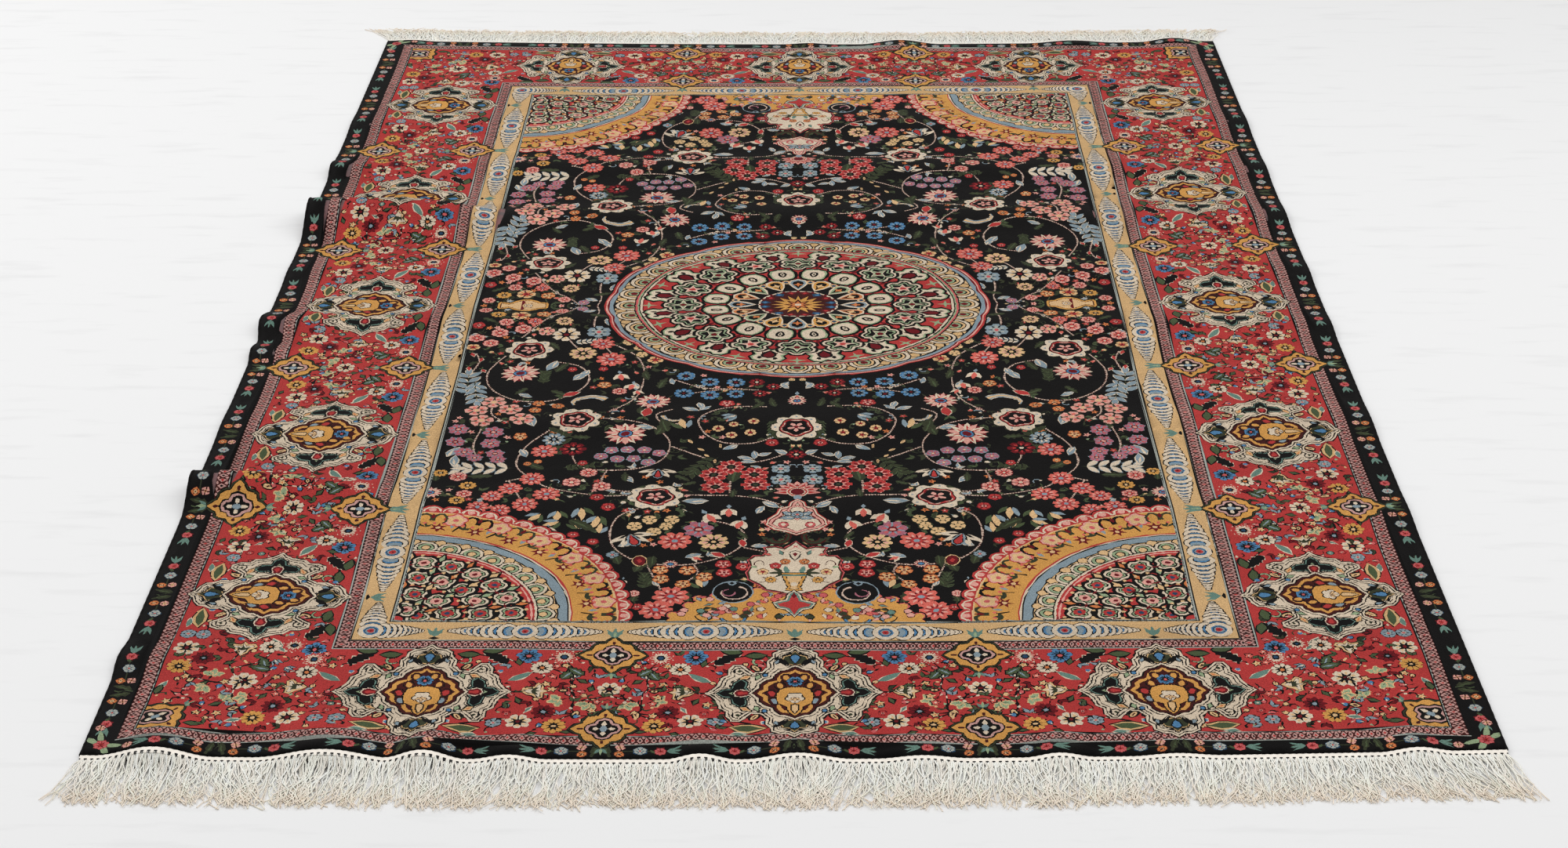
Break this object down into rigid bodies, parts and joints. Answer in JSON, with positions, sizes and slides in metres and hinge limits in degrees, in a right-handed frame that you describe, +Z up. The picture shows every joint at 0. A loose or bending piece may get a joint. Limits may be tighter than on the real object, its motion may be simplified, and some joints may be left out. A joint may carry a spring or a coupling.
{
  "type": "hand-knotted oriental silk rug with warp fringes, lying loosely on a floor with soft folds",
  "caption": "Rectangular knotted pile rug, 1.83 by 2.76 m without its fringes, lying on a floor with two low folds at one long edge and a warp fringe at both ends.",
  "frame": {"origin": "on the floor under the middle of the rug's bounding box", "axes": "+X across the rug, +Y along it towards the back fringe, +Z up from the floor"},
  "size_m": [1.8832, 2.956, 0.0474],
  "materials": {
    "silk_pile": "knotted silk pile with a floral pattern",
    "silk_warp": "undyed warp yarn, plain weave and loose ends"
  },
  "bodies": {
    "root": {"rug_body": "silk_pile", "fringe_front": "silk_warp", "fringe_back": "silk_warp"}
  },
  "joints": []
}
